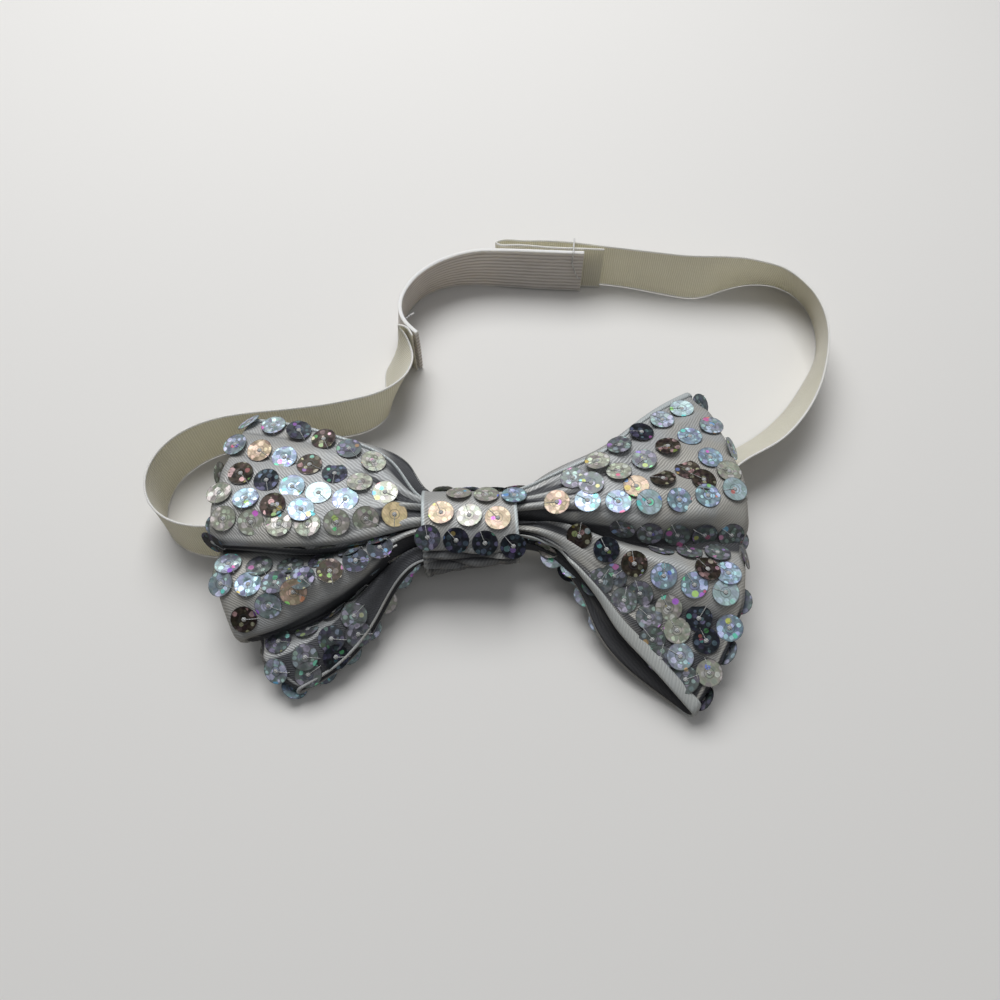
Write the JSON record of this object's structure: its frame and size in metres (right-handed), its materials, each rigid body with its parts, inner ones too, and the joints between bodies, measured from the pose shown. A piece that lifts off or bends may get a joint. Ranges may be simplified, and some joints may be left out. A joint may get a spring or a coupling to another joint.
{
  "type": "sequinned hair bow on an elastic head band",
  "caption": "Sequinned satin hair bow with two pleated loops and a wrapped knot, on a narrow ribbon head band with an elastic joining piece behind the head.",
  "frame": {"origin": "middle of the knot's flat back, on the surface that the bow lies on", "axes": "+X along the bow towards its right loop, +Y towards the far side of the head band, +Z out of the bow's front"},
  "size_m": [0.18, 0.1365, 0.0226],
  "materials": {
    "satin": "silver-grey satin with a fine twill, slightly lustrous",
    "sequin_foil": "silver holographic foil, mirror bright with coloured flakes",
    "ribbon": "cream cross-ribbed ribbon with a low sheen",
    "elastic": "white ribbed elastic, matte",
    "thread": "white sewing thread"
  },
  "bodies": {
    "knot": {"knot_wrap": "satin", "waist_pleats": "satin", "gather_thread": "thread", "wrap_stitch": "thread", "ribbon_middle": "ribbon", "knot_sequin_01": "sequin_foil", "knot_sequin_02": "sequin_foil", "knot_sequin_03": "sequin_foil", "knot_sequin_04": "sequin_foil", "knot_sequin_05": "sequin_foil", "knot_sequin_06": "sequin_foil", "knot_sequin_07": "sequin_foil"},
    "left_wing": {"left_wing": "satin", "left_sequin_01": "sequin_foil", "left_sequin_02": "sequin_foil", "left_sequin_03": "sequin_foil", "left_sequin_04": "sequin_foil", "left_sequin_05": "sequin_foil", "left_sequin_06": "sequin_foil", "left_sequin_07": "sequin_foil", "left_sequin_08": "sequin_foil", "left_sequin_09": "sequin_foil", "left_sequin_10": "sequin_foil", "left_sequin_11": "sequin_foil", "left_sequin_12": "sequin_foil", "left_sequin_13": "sequin_foil", "left_sequin_14": "sequin_foil", "left_sequin_15": "sequin_foil", "left_sequin_16": "sequin_foil", "left_sequin_17": "sequin_foil", "left_sequin_18": "sequin_foil", "left_loose_thread": "thread"},
    "right_wing": {"right_wing": "satin", "right_sequin_01": "sequin_foil", "right_sequin_02": "sequin_foil", "right_sequin_03": "sequin_foil", "right_sequin_04": "sequin_foil", "right_sequin_05": "sequin_foil", "right_sequin_06": "sequin_foil", "right_sequin_07": "sequin_foil", "right_sequin_08": "sequin_foil", "right_sequin_09": "sequin_foil", "right_sequin_10": "sequin_foil", "right_sequin_11": "sequin_foil", "right_sequin_12": "sequin_foil", "right_sequin_13": "sequin_foil", "right_sequin_14": "sequin_foil", "right_sequin_15": "sequin_foil", "right_sequin_16": "sequin_foil", "right_sequin_17": "sequin_foil", "right_sequin_18": "sequin_foil", "right_sequin_19": "sequin_foil", "right_sequin_20": "sequin_foil"},
    "band": {"ribbon_left": "ribbon", "elastic": "elastic", "ribbon_right": "ribbon", "left_seam_thread": "thread", "right_lap_thread": "thread"}
  },
  "joints": [
    {"name": "left_wing_lift", "type": "hinge", "parent": "knot", "child": "left_wing", "pos_m": [-0.0085, 0, 0.0127], "axis": [0, 1, 0], "range_deg": [0, 20], "stiffness_Nm_per_rad": 0.002},
    {"name": "right_wing_lift", "type": "hinge", "parent": "knot", "child": "right_wing", "pos_m": [0.0085, 0, 0.0127], "axis": [0, -1, 0], "range_deg": [0, 20], "stiffness_Nm_per_rad": 0.002},
    {"name": "band_swing", "type": "hinge", "parent": "knot", "child": "band", "pos_m": [0, 0.0017, 0.0075], "axis": [-1, 0, 0], "range_deg": [0, 90]}
  ]
}
